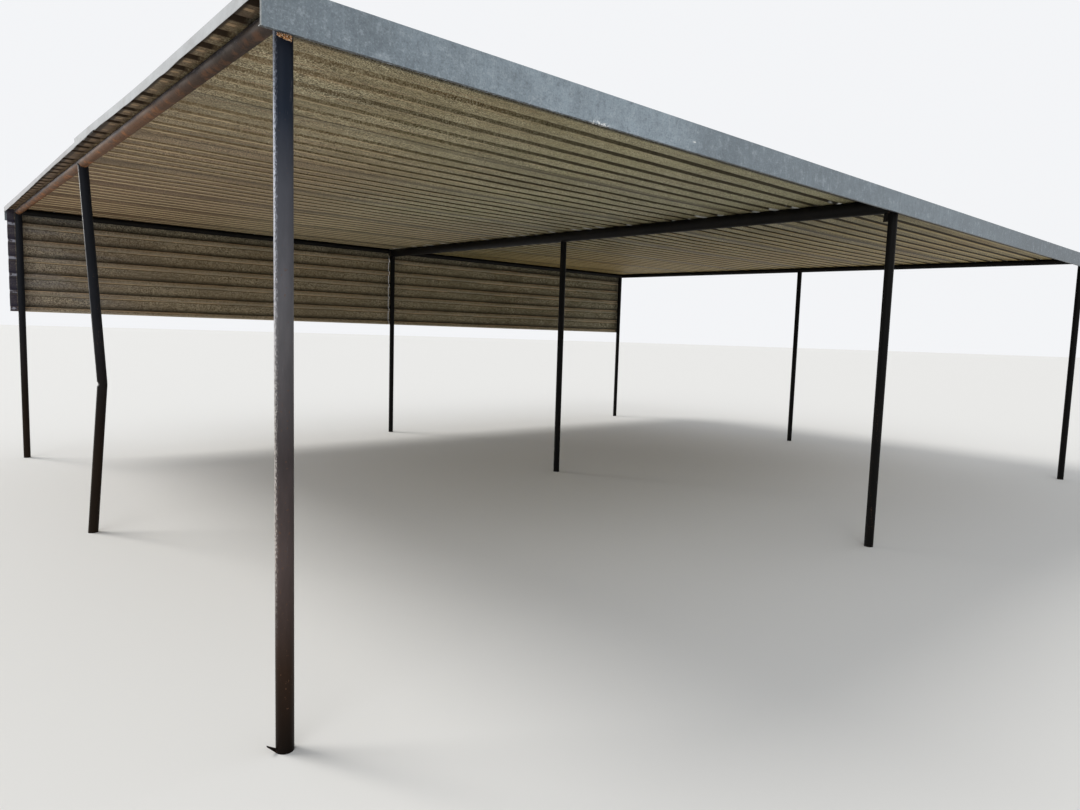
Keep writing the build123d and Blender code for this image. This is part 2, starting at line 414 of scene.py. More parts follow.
def roof_screws(material):
    """Screws in the pans over each beam, in the lap ribs and along the back beam."""
    lap_screws, back_screws, back_inset = 10, 13, 0.28
    places = []
    for x in COLUMNS.values():
        for k in range(RIBS - 1):
            along = FIRST_RIB + (k + 0.5) * RIB_PITCH + random.uniform(-0.012, 0.012)
            places.append((on_roof(along, SHEET, x + random.uniform(-0.006, 0.006)), ROOF_UP))
    crest = RIB_HEIGHT + 2 * SHEET + SEAT
    for index in LAP_RIBS:
        for k in range(lap_screws):
            x = X_A + (X_C - X_A) * (k + 0.5) / lap_screws + random.uniform(-0.03, 0.03)
            places.append((on_roof(rib_place(index), crest, x), ROOF_UP))
    for k in range(back_screws):
        x = X_A + back_inset + (X_C - X_A - 2 * back_inset) * k / (back_screws - 1)
        places.append((on_roof(ROW_3_ALONG, SHEET, x + random.uniform(-0.02, 0.02)), ROOF_UP))
    screws("roof_screws", places, material)


def screen_screws(material):
    """Screws in the grooves of the screen's ribs, where they cross the posts."""
    places = []
    out = Vector((0, 1, 0))
    low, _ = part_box("screen_sheet_left")
    for x in (X_A, X_B + 0.004, X_C):
        for k in range(RIBS_PER_SHEET):
            level = low.z + RIB_BASE / 2 + SHEET + k * RIB_PITCH
            places.append((Vector((x + random.uniform(-0.004, 0.004), low.y + SHEET, level)), out))
    screws("screen_screws", places, material)


def trim_screws(material):
    """Screws through the flanges of the fascias and gable trims into the ribs."""
    fascia_screws, fascia_inset, ribs_between = 14, 0.12, 3
    places = []
    flange = RIB_HEIGHT + SHEET + SEAT + TRIM
    for k in range(fascia_screws):
        x = X_A + fascia_inset + (X_C - X_A - 2 * fascia_inset) * k / (fascia_screws - 1)
        for along in (FIRST_RIB, LAST_RIB):
            places.append((on_roof(along, flange, x + random.uniform(-0.02, 0.02), False), ROOF_UP))
    for name, side in (("a", -1), ("c", 1)):
        low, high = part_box(f"gable_trim_{name}_front")
        for k in range(1, RIBS - 1, ribs_between):
            along = rib_place(k)
            part = "front" if Y_1 + along < high.y - 0.02 else "back"
            level = trim_level(part) + trim_shape(name, part, Y_1 + along - low.y)[0]
            middle = (low.x + high.x) / 2 + random.uniform(-0.004, 0.004)
            places.append((on_roof(along, level, middle - side * 0.003, False), ROOF_UP))
    screws("trim_screws", places, material)


# Welds


def bead(work, path, radius, closed=True):
    """Weld bead along a path: a tube whose radius ripples along it."""
    sides = 6
    count = len(path)
    rings = []
    for k, point in enumerate(path):
        ahead = path[(k + 1) % count] if closed or k < count - 1 else point
        behind = path[k - 1] if closed or k else point
        run = (ahead - behind).normalized()
        side = run.orthogonal().normalized() if not rings else (last - run * last.dot(run)).normalized()
        last = side
        other = run.cross(side)
        r = radius * (1 + 0.16 * math.sin(k * 2.1) + random.uniform(-0.12, 0.12))
        ring = []
        for s in range(sides):
            a = 2 * math.pi * s / sides
            ring.append(work.verts.new(point + (side * math.cos(a) + other * math.sin(a)) * r))
        rings.append(ring)
    pairs = list(zip(rings, rings[1:])) + ([(rings[-1], rings[0])] if closed else [])
    for low, high in pairs:
        for s in range(sides):
            work.faces.new((low[s], low[s - 1], high[s - 1], high[s]))
    if not closed:
        work.faces.new(rings[0])
        work.faces.new(rings[-1][::-1])


def saddle_path(column, row):
    """Line where a post's coped top meets its beam."""
    steps = 56
    low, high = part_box(f"cross_beam_{column}")
    radius = (high.x - low.x) / 2
    x, y = COLUMNS[column], ROWS[row]
    post_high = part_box(f"post_{column}{row}")[1].z
    path = []
    for k in range(steps):
        a = 2 * math.pi * k / steps
        dx, dy = POST_R * math.cos(a), POST_R * math.sin(a)
        axis = on_roof((y + dy - Y_1) / math.cos(SLOPE), -radius, x, False).z
        drop = math.sqrt(max(0.0, radius**2 - dx**2))
        level = min(axis - drop - 0.001, post_high)
        path.append(Vector((x + dx * 1.01, y + dy * 1.01, level)))
    return path


def cope_path(side, column, way):
    """Line where the coped end of a back beam meets a cross beam and the post under it."""
    steps = 44
    low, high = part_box(f"back_beam_{side}")
    radius = (high.y - low.y) / 2
    middle = (low.z + high.z) / 2
    beam_low, beam_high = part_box(f"cross_beam_{column}")
    beam_r = (beam_high.x - beam_low.x) / 2
    axis = on_roof(ROW_3_ALONG, -beam_r, 0, False).z
    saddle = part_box(f"post_{column}3")[1].z
    path = []
    for k in range(steps):
        a = 2 * math.pi * k / steps
        dy, dz = radius * math.cos(a), radius * math.sin(a)
        out = math.sqrt(max(0.0, beam_r**2 - (middle + dz - axis) ** 2))
        if middle + dz < saddle:
            out = max(out, math.sqrt(max(0.0, POST_R**2 - dy**2)))
        x = COLUMNS[column] + way * (out + 0.0012)
        path.append(Vector((x, Y_3 + dy * 1.02, middle + dz * 1.02)))
    return path


def welds(material):
    """Weld beads round the post tops, the ends of the back beams, and the small plates."""
    post_bead, beam_bead, gusset_bead, tab_bead = 0.0036, 0.0032, 0.0028, 0.0022
    work = bmesh.new()
    for column in COLUMNS:
        for row in ROWS:
            bead(work, saddle_path(column, row), post_bead)
    for side, near, far in (("left", "a", "b"), ("right", "b", "c")):
        bead(work, cope_path(side, near, 1), beam_bead)
        bead(work, cope_path(side, far, -1), beam_bead)
    low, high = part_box("gusset_b1")
    for x in (low.x, high.x):
        seam = [Vector((x, low.y, high.z - t / 5 * (high.z - low.z))) for t in range(6)]
        bead(work, seam, gusset_bead, False)
    low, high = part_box("foot_tab_a1")
    for y in (low.y, high.y):
        seam = [Vector((high.x, y, t * 0.013)) for t in (0.1, 0.4, 0.7, 1.0)]
        bead(work, seam, tab_bead, False)
    mesh = bpy.data.meshes.new("welds")
    bmesh.ops.recalc_face_normals(work, faces=work.faces)
    work.to_mesh(mesh)
    work.free()
    add_piece("welds", mesh, material, 60.0)


# Odd things that the photo shows


def foam_crust(material):
    """Crust of old porous foam round the front and right of post A1, just below the fascia."""
    fascia_low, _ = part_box("front_fascia")
    turn_from, turn_to = math.radians(-154), math.radians(-54)
    tall, slant, thick, sunk, back = 0.032, 0.017, 0.0085, 0.0008, 0.0022
    around, upward = 96, 36
    rows = []
    for j in range(upward + 1):
        v = j / upward
        for i in range(around + 1):
            u = i / around
            angle = turn_from + (turn_to - turn_from) * u
            at = Vector((u * 9.0, v * 3.4, 2.0))
            ragged = 0.42 * noise.noise(at) + 0.20 * noise.noise(at * 3.1)
            inside = 1 - abs(2 * u - 1) ** 3 - abs(1.7 * v - 0.9 + 0.25 * (1 - u)) ** 2.2 + ragged
            crumbs = noise.voronoi(Vector((u * 17.0, v * 6.5, 0.5)), distance_metric="DISTANCE")[0][0]
            height = thick * smooth(inside, 0.15, 0.55) * (1 - smooth(crumbs, 0.15, 0.62))
            rows.append((POST_R - sunk + height, angle, fascia_low.z + 0.002 - slant * u + tall * v))
    points = []
    for inner in (False, True):
        for r, angle, z in rows:
            r = POST_R - back if inner else r
            points.append(Vector((X_A + r * math.cos(angle), Y_1 + r * math.sin(angle), z)))
    row, layer = around + 1, (around + 1) * (upward + 1)
    faces = []
    for j in range(upward):
        for i in range(around):
            a = j * row + i
            faces.append((a, a + 1, a + row + 1, a + row))
            faces.append((layer + a, layer + a + row, layer + a + row + 1, layer + a + 1))
    for i in range(around):
        for a in (i, upward * row + i):
            faces.append((a, a + 1, layer + a + 1, layer + a))
    for j in range(upward):
        for a in (j * row, j * row + around):
            faces.append((a, a + row, layer + a + row, layer + a))
    add_piece("foam_crust", mesh_from("foam_crust", points, faces), material, 80.0)


# Materials, with linear colours


class Nodes:
    """Short calls that add nodes to one material and link them. A share runs from 0 to 1."""

    def __init__(self, name):
        self.material = bpy.data.materials.new(name)
        self.material.use_nodes = True
        self.tree = self.material.node_tree
        self.shader = self.tree.nodes["Principled BSDF"]
        self.place = self.add("ShaderNodeTexCoord").outputs["Object"]
        self.x, self.y, self.z = self.split(self.place)
        self.nx, self.ny, self.nz = self.split(self.add("ShaderNodeNewGeometry").outputs["Normal"])

    def add(self, kind, **values):
        """New node with its settings."""
        node = self.tree.nodes.new(kind)
        for key, value in values.items():
            setattr(node, key, value)
        return node

    def put(self, socket, value):
        """Links a node's output to a socket, or sets the socket to a number or colour."""
        if isinstance(value, bpy.types.NodeSocket):
            self.tree.links.new(value, socket)
        elif isinstance(value, tuple) and len(value) == 3 and len(socket.default_value) == 4:
            socket.default_value = (*value, 1.0)
        else:
            socket.default_value = value

    def split(self, vector):
        """The three numbers of a vector or colour."""
        node = self.add("ShaderNodeSeparateXYZ")
        self.put(node.inputs[0], vector)
        return node.outputs[0], node.outputs[1], node.outputs[2]

    def math(self, operation, a, b=0.0, clamp=False):
        """Result of one sum."""
        node = self.add("ShaderNodeMath", operation=operation, use_clamp=clamp)
        self.put(node.inputs[0], a)
        self.put(node.inputs[1], b)
        return node.outputs[0]

    def span(self, value, low, high, to_low=0.0, to_high=1.0):
        """Maps low..high onto to_low..to_high with eased, clamped ends."""
        node = self.add("ShaderNodeMapRange", interpolation_type="SMOOTHSTEP")
        for socket, given in zip(node.inputs, (value, low, high, to_low, to_high)):
            self.put(socket, given)
        return node.outputs[0]

    def noise(self, scale, detail=3.0, rough=0.55, stretch=(1.0, 1.0, 1.0)):
        """Cloudy noise, drawn out along the axes whose stretch is under 1."""
        mapping = self.add("ShaderNodeMapping")
        self.put(mapping.inputs["Vector"], self.place)
        self.put(mapping.inputs["Scale"], stretch)
        node = self.add("ShaderNodeTexNoise")
        self.put(node.inputs["Vector"], mapping.outputs[0])
        self.put(node.inputs["Scale"], scale)
        self.put(node.inputs["Detail"], detail)
        self.put(node.inputs["Roughness"], rough)
        return node.outputs[0]

    def cells(self, scale):
        """Cells with a random colour each."""
        node = self.add("ShaderNodeTexVoronoi")
        self.put(node.inputs["Vector"], self.place)
        self.put(node.inputs["Scale"], scale)
        return node.outputs["Color"]

    def fold(self, value, first, step):
        """Distance from the nearest of evenly spaced lines, and the number of that line."""
        turns = self.math("DIVIDE", self.math("SUBTRACT", value, first), step)
        turns = self.math("ADD", turns, 0.5)
        off = self.math("SUBTRACT", self.math("FRACT", turns), 0.5)
        return self.math("MULTIPLY", off, step), self.math("FLOOR", turns)

    def near(self, value, centre, inner, outer):
        """1 within a distance of a centre, easing to 0 further out."""
        away = self.math("ABSOLUTE", self.math("SUBTRACT", value, centre))
        return self.span(away, outer, inner)

    def either(self, a, b):
        """The larger of two shares."""
        return self.math("MAXIMUM", a, b)

    def both(self, *shares):
        """Product of several shares."""
        product = shares[0]
        for share in shares[1:]:
            product = self.math("MULTIPLY", product, share)
        return product

    def ramp(self, value, *stops):
        """Colour that runs through stops of (place, colour)."""
        node = self.add("ShaderNodeValToRGB")
        self.put(node.inputs[0], value)
        elements = node.color_ramp.elements
        for place, _ in stops[1:-1]:
            elements.new(place)
        elements[0].position, elements[-1].position = stops[0][0], stops[-1][0]
        for element, (_, colour) in zip(elements, stops):
            element.color = (*colour, 1.0)
        return node.outputs[0]

    def levels(self, value, *stops):
        """Share that runs through stops of (place, level)."""
        return self.ramp(value, *((place, (level,) * 3) for place, level in stops))

    def mix(self, share, a, b, blend="MIX"):
        """Colour a with a share of colour b laid over it."""
        node = self.add("ShaderNodeMix", data_type="RGBA", blend_type=blend)
        self.put(node.inputs[0], share)
        self.put(node.inputs[6], a)
        self.put(node.inputs[7], b)
        return node.outputs[2]

    def bump(self, height, distance, strength):
        """Small unevenness of the surface."""
        node = self.add("ShaderNodeBump")
        self.put(node.inputs["Strength"], strength)
        self.put(node.inputs["Distance"], distance)
        self.put(node.inputs["Height"], height)
        self.put(self.shader.inputs["Normal"], node.outputs[0])

    def finish(self, colour, roughness, metallic=0.0, specular=0.5):
        """Sets the shader and gives the material."""
        self.put(self.shader.inputs["Base Color"], colour)
        self.put(self.shader.inputs["Roughness"], roughness)
        self.put(self.shader.inputs["Metallic"], metallic)
        self.put(self.shader.inputs["Specular IOR Level"], specular)
        return self.material


def zinc(n, base, spread, size):
    """Spangled zinc: crystals a few millimetres wide, each a little lighter or darker."""
    red = n.split(n.cells(1.0 / size))[0]
    cloud = n.span(n.noise(7.0, 4.0, 0.6), 0.3, 0.7, -spread, spread)
    tone = n.math("ADD", n.math("MULTIPLY", red, spread), cloud)
    light = tuple(min(1.0, c * 1.35) for c in base)
    dark = tuple(c * 0.7 for c in base)
    return n.mix(n.math("ADD", tone, 0.5 - spread / 2, True), dark, light)


def column_share(n):
    """Place along the carport, 0 at column A and 1 at column C."""
    return n.math("DIVIDE", n.math("SUBTRACT", n.x, X_A), X_C - X_A)


def sheet_finish(n, tone, speck, outer):
    """Bump and sheen of a sheet, its inner side in a tone and its outer side weathered."""
    n.bump(speck, 0.0005, 0.30)
    rough = n.math("ADD", n.span(speck, 0.3, 0.7, 0.50, 0.64), n.math("MULTIPLY", outer, -0.12))
    return n.finish(n.mix(outer, tone, weather_side(n)), rough, 0.25, 0.08)


def weather_side(n):
    """Outer side of the sheets: zinc with cloudy white patches and dirt washed along the ribs."""
    base = zinc(n, (0.42, 0.43, 0.43), 0.32, 0.012)
    patch = n.span(n.noise(2.2, 5.0, 0.6), 0.52, 0.70)
    base = n.mix(n.both(patch, 0.45), base, (0.60, 0.60, 0.57))
    dirt = n.span(n.noise(3.0, 4.0, 0.6, (0.25, 6.0, 6.0)), 0.55, 0.75)
    return n.mix(n.both(dirt, 0.35), base, (0.20, 0.17, 0.13))


def speckled(n, tone, cream, dark, strength):
    """Strews fine pale and dark specks over a tone, thick in some places and thin in others."""
    speck = n.noise(150.0, 2.0, 0.8)
    coarse = n.noise(56.0, 5.0, 0.80, (0.6, 1.0, 1.0))
    flock = n.span(n.noise(5.0, 3.0, 0.6, (0.35, 1.0, 1.0)), 0.40, 0.62, 0.35, 1.0)
    pale = n.both(n.span(speck, 0.51, 0.60, 0.0, strength), flock)
    tone = n.mix(pale, tone, cream)
    tone = n.mix(n.span(speck, 0.49, 0.40, 0.0, strength), tone, dark)
    tone = n.mix(n.span(coarse, 0.52, 0.64, 0.0, 0.38 * strength), tone, cream)
    tone = n.mix(n.span(coarse, 0.48, 0.36, 0.0, 0.50 * strength), tone, dark)
    return tone, speck


def roof_tone(n, place, deep):
    """Underside of the roof between its ribs: brown by gable A, then olive, and golden past column B."""
    tone = n.ramp(
        place,
        (0.0, (0.258, 0.186, 0.098)), (0.13, (0.300, 0.250, 0.130)), (0.26, (0.405, 0.368, 0.205)),
        (0.42, (0.335, 0.315, 0.176)), (0.55, (0.205, 0.172, 0.080)), (0.78, (0.260, 0.172, 0.052)),
        (1.0, (0.225, 0.160, 0.058)),
    )
    tone = n.mix(n.span(n.noise(0.9, 3.0), 0.42, 0.62, 0.0, 0.5), tone, (0.215, 0.190, 0.105))
    rusty = n.span(n.noise(26.0, 4.0, 0.7, (0.045, 1.0, 1.0)), 0.50, 0.68, 0.0, 0.75)
    tone = n.mix(n.both(rusty, n.span(place, 0.26, 0.02)), tone, (0.34, 0.19, 0.085))
    dull = n.span(n.noise(14.0, 3.0, 0.6, (0.05, 1.0, 1.0)), 0.50, 0.72, 0.0, 0.5)
    tone = n.mix(dull, tone, (0.15, 0.125, 0.085))
    tone, speck = speckled(n, tone, (0.80, 0.73, 0.50), (0.060, 0.047, 0.025), 0.85)
    redder = n.both(n.span(place, 0.30, 0.12), deep)
    return n.mix(redder, tone, (0.78, 0.67, 0.63), "MULTIPLY"), speck


def rib_shadows(n, tone, place, off, opening, lap, shown):
    """Painted shade inside the ribs and in the fold where a lap's flange covers a rib, and painted light in
    the rib openings by gable A.
    """
    # painted light: the rib openings by gable A made lighter
    tone = n.mix(n.both(opening, n.span(place, 0.12, 0.02, 0.0, 0.50)), tone, (0.27, 0.195, 0.115))
    shade = n.levels(place, (0.02, 0.12), (0.24, 0.90), (0.46, 0.90), (0.60, 0.94))
    # painted shade: the rib openings darkened
    tone = n.mix(n.both(opening, shade), tone, (0.026, 0.019, 0.010))
    # painted shade in the fold where a lap's flange covers a rib
    fold = n.both(n.near(off, 0.002, 0.020, 0.026), lap, shade, shown)
    return n.mix(fold, tone, (0.050, 0.034, 0.015))


def rib_lights(n, tone, place, off, plain, deep):
    """Painted reflection: a golden line on the pan behind each rib, broken in patches, and wide far back in
    the left bay, where the pans are darker; past column B a painted pale highlight behind each rib.
    """
    # patches where the painted reflection shows
    glint_patches = n.span(n.noise(9.0, 3.0, 0.6, (0.3, 1.0, 1.0)), 0.42, 0.58)
    whole = n.either(n.span(place, 0.55, 0.70), n.both(n.span(place, 0.34, 0.22), deep))
    golden = n.both(n.near(off, 0.031, 0.003, 0.009), plain, n.either(glint_patches, whole))
    golden = n.both(golden, n.levels(place, (0.0, 0.95), (0.24, 0.70), (0.42, 0.42), (0.72, 0.85)))
    golden = n.both(golden, n.either(n.span(n.y, Y_1 + 0.4, Y_1 + 1.8, 0.35, 1.0), n.span(place, 0.5, 0.6)))
    back = n.both(n.span(n.y, Y_1 + 2.6, Y_1 + 4.2), n.span(place, 0.52, 0.44))
    tone = n.mix(back, tone, (0.84, 0.78, 0.79), "MULTIPLY")
    golden = n.either(golden, n.both(n.near(off, 0.038, 0.009, 0.017), plain, back, 0.80))
    # painted reflection: the golden line on the pan behind each rib
    tone = n.mix(golden, tone, n.mix(n.span(place, 0.50, 0.62), (0.66, 0.52, 0.32), (0.62, 0.45, 0.23)))
    # painted highlight on the pan behind each rib past column B
    lit = n.both(n.near(off, 0.042, 0.010, 0.020), plain, n.span(place, 0.55, 0.72, 0.0, 0.70))
    return n.mix(lit, tone, (0.56, 0.50, 0.34))


def overhang_tone(n, tone, off, plain):
    """Strip outside beam A: brown, darker further back, with painted shade in the ribs, a painted glint on
    each pan and painted shadow beside the trim.
    """
    outside = n.span(n.x, X_A - 0.012, X_A - 0.034)
    far = n.span(n.y, Y_1 + 1.0, Y_1 + 3.0)
    tone = n.mix(n.both(outside, n.span(far, 0.0, 1.0, 0.60, 0.85)), tone, (0.135, 0.085, 0.050))
    # painted shade in the rib ends outside beam A
    tone = n.mix(n.both(outside, n.near(off, 0.0, 0.024, 0.032), plain, 0.90), tone, (0.030, 0.019, 0.012))
    glint = n.both(outside, n.near(off, 0.066, 0.006, 0.014), n.near(n.x, X_A - 0.052, 0.008, 0.020))
    tone = n.mix(n.both(glint, n.span(far, 0.0, 1.0, 0.60, 0.30)), tone, (0.55, 0.38, 0.22))
    # painted shadow along the sheet ends beside the trim
    return n.mix(n.span(n.x, X_A - 0.060, X_A - 0.070, 0.0, 0.88), tone, (0.030, 0.019, 0.012))


def roof_material():
    """Roof sheets, speckled below and weathered above."""
    n = Nodes("roof_zinc")
    place = column_share(n)
    deep = n.span(n.y, Y_1 + 0.9, Y_1 + 2.4)
    along = n.math("DIVIDE", n.math("SUBTRACT", n.y, Y_1), math.cos(SLOPE))
    off, index = n.fold(along, FIRST_RIB, RIB_PITCH)
    turn = n.math("MODULO", n.math("SUBTRACT", index, LAP_RIBS[0] % RIBS_PER_SHEET), RIBS_PER_SHEET)
    lap = n.both(n.math("LESS_THAN", turn, 0.5), n.math("GREATER_THAN", index, 4.0))
    plain = n.math("SUBTRACT", 1.0, lap)
    opening = n.both(n.near(off, 0.0, RIB_BASE / 2 - 0.002, RIB_BASE / 2 + 0.002), plain)
    shown = n.span(place, 0.08, 0.34, 0.45, 0.95)

    tone, speck = roof_tone(n, place, deep)
    tone = rib_shadows(n, tone, place, off, opening, lap, shown)
    tone = rib_lights(n, tone, place, off, plain, deep)
    # painted shadow: a thin dark line along the edge of each lap's flange
    flange = n.both(n.near(off, -LAP_FLANGE, 0.003, 0.006), lap, shown, 0.58)
    tone = n.mix(flange, tone, (0.045, 0.034, 0.020))
    bay_tint = n.ramp(place, (0.46, (1.0, 1.0, 1.0)), (0.58, (0.82, 0.78, 0.61)), (0.80, (0.83, 0.75, 0.54)))
    tone = n.mix(1.0, tone, bay_tint, "MULTIPLY")
    # painted light: daylight seen through the rib openings over beam B
    daylight_in_ribs = n.both(opening, n.near(n.x, X_B, 0.05, 0.11), n.span(n.noise(4.0, 2.0), 0.47, 0.53), 0.95)
    tone = n.mix(daylight_in_ribs, tone, (0.85, 0.85, 0.80))
    # painted shade on the roof's underside for the first 0.3 m behind the front fascia
    shade_behind_fascia = n.span(along, FRONT_EDGE + 0.312, FRONT_EDGE + 0.296, 0.0, 0.75)
    fascia_shade_tone = n.mix(n.span(speck, 0.42, 0.60), (0.018, 0.017, 0.014), (0.115, 0.110, 0.090))
    tone = n.mix(shade_behind_fascia, tone, fascia_shade_tone)
    tone = overhang_tone(n, tone, off, plain)
    return sheet_finish(n, tone, speck, n.span(n.nz, -0.05, 0.05))


def screen_material():
    """Screen sheets: dull brown, with painted shade at the top, a painted blue-grey sky reflection by gable
    A, painted light on the rib crests and in a pale line under each rib, painted shade over each rib's upper
    foot, painted glints at the bends, and painted shade and glints past post A3.
    """
    n = Nodes("screen_zinc")
    low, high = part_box("screen_sheet_left")
    off, _ = n.fold(n.z, low.z + RIB_BASE / 2 + SHEET, RIB_PITCH)
    place = column_share(n)
    tone = n.ramp(
        place,
        (0.0, (0.225, 0.182, 0.146)), (0.18, (0.270, 0.208, 0.128)), (0.40, (0.262, 0.212, 0.130)),
        (0.62, (0.195, 0.165, 0.093)), (0.80, (0.130, 0.114, 0.062)), (1.0, (0.098, 0.092, 0.052)),
    )
    # painted shade under the back beam: the top of the screen darker
    tone = n.mix(n.span(n.z, high.z - 0.20, high.z - 0.08, 0.0, 0.6), tone, (0.095, 0.095, 0.070))
    # painted sky reflection: blue-grey clouds on the screen by gable A
    blue = n.both(n.span(n.noise(3.0, 3.0, 0.6, (0.4, 1.0, 3.0)), 0.45, 0.62), n.span(place, 0.14, 0.04))
    tone = n.mix(n.both(blue, 0.6), tone, (0.19, 0.19, 0.20))
    streak = n.noise(26.0, 4.0, 0.7, (0.05, 1.0, 1.0))
    tone = n.mix(n.span(streak, 0.52, 0.70, 0.0, 0.45), tone, (0.28, 0.19, 0.10))
    tone = n.mix(n.span(streak, 0.48, 0.30, 0.0, 0.40), tone, (0.09, 0.075, 0.05))
    tone, speck = speckled(n, tone, (0.62, 0.54, 0.38), (0.045, 0.036, 0.022), 0.75)
    # painted light: the rib crests a little lighter
    crest = n.near(off, 0.0, RIB_CREST / 2, RIB_CREST / 2 + 0.004)
    tone = n.mix(n.both(crest, 0.22), tone, (0.34, 0.235, 0.14))
    # painted light: a pale line under each rib, on its lower web
    below = n.near(off, -0.019, 0.007, 0.011)
    tone = n.mix(n.both(below, 0.30), tone, (0.40, 0.36, 0.28))
    tone = n.mix(n.both(n.near(off, -0.032, 0.002, 0.006), 0.60), tone, (0.022, 0.017, 0.011))
    # painted shade over each rib's upper foot, fading up the pan
    above = n.both(n.span(off, 0.014, 0.019), n.span(off, 0.064, 0.026))
    tone = n.mix(n.both(above, 0.70), tone, (0.026, 0.020, 0.012))
    # painted highlights: thin orange glints along the rib bends, in patches
    bends = n.either(n.near(off, -0.026, 0.001, 0.004), n.near(off, 0.013, 0.001, 0.004))
    glint_patches = n.span(n.noise(17.0, 3.0, 0.6, (0.08, 1.0, 1.0)), 0.42, 0.56)
    tone = n.mix(n.both(bends, glint_patches, 0.75), tone, (0.66, 0.45, 0.25))
    # painted shade: the screen's end past post A3 dark blue-grey
    beyond_post = n.span(n.x, X_A - 0.020, X_A - 0.034)
    tone = n.mix(n.both(beyond_post, 0.82), tone, (0.040, 0.036, 0.060))
    # painted glints on the ribs at that end
    glint_tooth = n.both(beyond_post, n.near(off, 0.0, 0.006, 0.016), n.span(n.noise(35.0, 3.0), 0.42, 0.56))
    tone = n.mix(n.both(glint_tooth, 0.55), tone, (0.55, 0.57, 0.66))
    return sheet_finish(n, tone, speck, n.span(n.ny, -0.05, 0.05))


def fascia_material():
    """Front and rear fascia: blue-grey zinc, mottled, a little lighter and darker along its length, with a
    painted highlight on the left end and painted shade on its downward faces.
    """
    n = Nodes("fascia_zinc")
    base = zinc(n, (0.27, 0.325, 0.365), 0.16, 0.010)
    share = n.levels(
        column_share(n),
        (0.0, 0.58), (0.05, 0.76), (0.13, 0.98), (0.20, 1.06), (0.25, 0.66),
        (0.38, 0.66), (0.55, 0.74), (0.80, 0.50), (1.0, 0.44),
    )
    base = n.mix(1.0, base, share, "MULTIPLY")
    streak = n.noise(50.0, 4.0, 0.65, (1.0, 1.0, 0.16))
    base = n.mix(n.span(streak, 0.50, 0.80, 0.0, 0.25), base, (0.47, 0.52, 0.55))
    base = n.mix(n.span(streak, 0.48, 0.25, 0.0, 0.20), base, (0.15, 0.18, 0.21))
    mottle = n.noise(32.0, 5.0, 0.7)
    base = n.mix(n.span(mottle, 0.52, 0.68, 0.0, 0.50), base, (0.40, 0.45, 0.49))
    base = n.mix(n.span(mottle, 0.48, 0.32, 0.0, 0.50), base, (0.13, 0.155, 0.18))
    fine = n.noise(150.0, 2.0, 0.7)
    base = n.mix(n.span(fine, 0.54, 0.70, 0.0, 0.30), base, (0.50, 0.54, 0.58))
    base = n.mix(n.span(fine, 0.46, 0.34, 0.0, 0.45), base, (0.12, 0.14, 0.16))
    low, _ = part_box("front_fascia")
    chalk_x, scrape_x, seam_x = X_A + 1.195, X_A + 1.767, X_A + 3.757
    # painted highlight along the left end's edge
    end = n.near(n.x, low.x, 0.002, 0.005)
    # painted shade on the downward faces of the lip, broken by fine specks
    under = n.both(n.span(n.nz, -0.3, -0.6), n.span(fine, 0.62, 0.52))
    seam = n.near(n.x, seam_x, 0.0008, 0.0030)
    scrape = n.both(n.near(n.x, scrape_x, 0.007, 0.009), n.near(n.z, low.z + 0.042, 0.0015, 0.0030))
    pale_specks = n.both(n.near(n.x, chalk_x, 0.03, 0.06), n.span(n.z, low.z + 0.015, low.z + 0.005))
    pale_specks = n.both(pale_specks, n.span(fine, 0.48, 0.56))
    base = n.mix(n.both(end, 0.30), base, (0.66, 0.62, 0.55))
    base = n.mix(n.both(under, 0.90), base, (0.045, 0.045, 0.042))
    base = n.mix(n.both(seam, 0.55), base, (0.06, 0.07, 0.08))
    base = n.mix(n.both(n.either(scrape, pale_specks), 0.85), base, (0.85, 0.85, 0.83))
    n.bump(n.math("SUBTRACT", mottle, seam), 0.0005, 0.3)
    return n.finish(base, n.span(mottle, 0.3, 0.7, 0.42, 0.54), 0.40)


def trim_material():
    """Gable trim: pale dusty zinc, duller on the back lengths."""
    n = Nodes("trim_zinc")
    base = zinc(n, (0.41, 0.42, 0.43), 0.12, 0.010)
    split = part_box("gable_trim_a_front")[1].y
    base = n.mix(n.span(n.y, split, split + 0.3, 0.0, 0.5), base, (0.30, 0.29, 0.30))
    dirt = n.span(n.noise(10.0, 5.0, 0.65, (4.0, 0.7, 1.0)), 0.5, 0.72)
    base = n.mix(n.both(dirt, 0.25), base, (0.26, 0.23, 0.21))
    fine = n.noise(240.0, 2.0)
    n.bump(fine, 0.0003, 0.3)
    return n.finish(base, n.span(fine, 0.3, 0.7, 0.62, 0.74), 0.0, 0.10)


